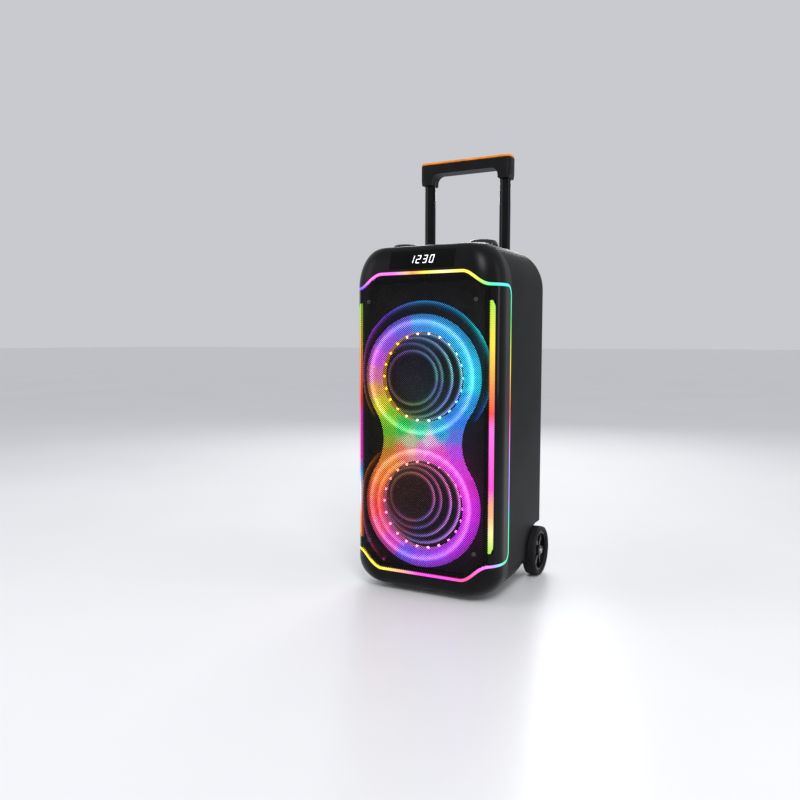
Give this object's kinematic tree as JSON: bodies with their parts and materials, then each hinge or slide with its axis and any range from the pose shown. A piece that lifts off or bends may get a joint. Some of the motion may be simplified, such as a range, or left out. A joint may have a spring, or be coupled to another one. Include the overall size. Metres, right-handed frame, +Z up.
{
  "type": "party speaker",
  "caption": "Upright party speaker on two wheels with a pull-up handle, rainbow-lit grille, two woofers, top knobs and a rear panel",
  "frame": {"origin": "on the ground under the middle of the cabinet", "axes": "+Z up, -Y towards the front, +X to the right seen from the front"},
  "size_m": [0.297, 0.268, 0.7762],
  "materials": {
    "satin_black": "satin black ABS with a fine moulded texture",
    "gloss_black": "gloss black",
    "grille": "finely perforated sheet, matte black",
    "light_guide": "milky light guide lit in changing rainbow colours",
    "smoked_clear": "smoked translucent",
    "screw_steel": "dark zinc plated",
    "circuit_board": "green solder mask",
    "baffle_wood": "black stained fibreboard",
    "driver_metal": "black coated steel",
    "cone_paper": "pressed black cone",
    "rubber": "soft matte",
    "button_grey": "matte",
    "sleeve_metal": "satin",
    "tube_gloss": "gloss black coated aluminium",
    "grip_black": "fine texture",
    "orange_inlay": "satin orange",
    "tyre_black": "matte rubber tread",
    "wheel_plastic": "satin gloss",
    "socket_black": "moulded",
    "switch_red": "gloss",
    "battery_blue": "shrink wrap"
  },
  "bodies": {
    "cabinet": {"front_frame": "satin_black", "rear_cabinet": "satin_black", "rear_panel": "satin_black", "display_window": "gloss_black", "button_panel": "gloss_black", "cheek_panel_left": "gloss_black", "cheek_panel_right": "gloss_black", "front_grille": "grille", "outline_light_strip": "light_guide", "light_bar_left": "light_guide", "light_bar_right": "light_guide", "figure_eight_diffuser": "light_guide", "led_ring_lower": "light_guide", "led_ring_upper": "light_guide", "ripple_guard_lower": "smoked_clear", "ripple_guard_upper": "smoked_clear", "grille_screw_upper_left": "screw_steel", "grille_screw_upper_right": "screw_steel", "grille_screw_lower_left": "screw_steel", "grille_screw_lower_right": "screw_steel", "wheel_axle": "screw_steel", "usb_port": "screw_steel", "display_board": "circuit_board", "amplifier_board": "circuit_board", "baffle_board": "baffle_wood", "woofer_basket_lower": "driver_metal", "woofer_basket_upper": "driver_metal", "woofer_magnet_lower": "driver_metal", "woofer_magnet_upper": "driver_metal", "power_supply": "driver_metal", "foot_left": "rubber", "foot_right": "rubber", "handle_sleeve_left": "sleeve_metal", "handle_sleeve_right": "sleeve_metal", "mic_socket_1": "socket_black", "mic_socket_2": "socket_black", "aux_socket": "socket_black", "power_inlet": "socket_black", "bass_port": "socket_black", "battery_pack": "battery_blue"},
    "handle": {"handle_tube_left": "tube_gloss", "handle_tube_right": "tube_gloss", "handle_grip": "grip_black", "grip_inlay": "orange_inlay"},
    "wheel_left": {"wheel_tyre_left": "tyre_black", "wheel_hub_left": "wheel_plastic"},
    "wheel_right": {"wheel_tyre_right": "tyre_black", "wheel_hub_right": "wheel_plastic"},
    "knob_left": {"knob_left": "gloss_black"},
    "knob_right": {"knob_right": "gloss_black"},
    "cone_lower": {"woofer_cone_lower": "cone_paper", "woofer_surround_lower": "rubber"},
    "cone_upper": {"woofer_cone_upper": "cone_paper", "woofer_surround_upper": "rubber"},
    "power_switch": {"power_switch": "switch_red"},
    "button_1": {"top_button_1": "button_grey"},
    "button_2": {"top_button_2": "button_grey"},
    "button_3": {"top_button_3": "button_grey"},
    "button_4": {"top_button_4": "button_grey"}
  },
  "joints": [
    {"name": "handle_slide", "type": "slide", "parent": "cabinet", "child": "handle", "axis": [0, 0, 1], "range_m": [-0.13, 0.25]},
    {"name": "wheel_left_spin", "type": "hinge", "parent": "cabinet", "child": "wheel_left", "pos_m": [-0.135, 0.088, 0.0453], "axis": [1, 0, 0], "continuous": true},
    {"name": "wheel_right_spin", "type": "hinge", "parent": "cabinet", "child": "wheel_right", "pos_m": [0.135, 0.088, 0.0453], "axis": [1, 0, 0], "continuous": true},
    {"name": "knob_left_turn", "type": "hinge", "parent": "cabinet", "child": "knob_left", "pos_m": [-0.074, -0.038, 0.6], "axis": [0, 0, 1], "range_deg": [-140, 140]},
    {"name": "knob_right_turn", "type": "hinge", "parent": "cabinet", "child": "knob_right", "pos_m": [0.074, -0.038, 0.6], "axis": [0, 0, 1], "range_deg": [-140, 140]},
    {"name": "button_1_press", "type": "slide", "parent": "cabinet", "child": "button_1", "axis": [0, 0, -1], "range_m": [0, 0.001], "stiffness_N_per_m": 400},
    {"name": "button_2_press", "type": "slide", "parent": "cabinet", "child": "button_2", "axis": [0, 0, -1], "range_m": [0, 0.001], "stiffness_N_per_m": 400},
    {"name": "button_3_press", "type": "slide", "parent": "cabinet", "child": "button_3", "axis": [0, 0, -1], "range_m": [0, 0.001], "stiffness_N_per_m": 400},
    {"name": "button_4_press", "type": "slide", "parent": "cabinet", "child": "button_4", "axis": [0, 0, -1], "range_m": [0, 0.001], "stiffness_N_per_m": 400},
    {"name": "cone_lower_stroke", "type": "slide", "parent": "cabinet", "child": "cone_lower", "axis": [0, -1, 0], "range_m": [-0.003, 0.003], "stiffness_N_per_m": 2500},
    {"name": "cone_upper_stroke", "type": "slide", "parent": "cabinet", "child": "cone_upper", "axis": [0, -1, 0], "range_m": [-0.003, 0.003], "stiffness_N_per_m": 2500},
    {"name": "power_switch_rock", "type": "hinge", "parent": "cabinet", "child": "power_switch", "pos_m": [-0.034, 0.123, 0.296], "axis": [1, 0, 0], "range_deg": [0, 8]}
  ]
}
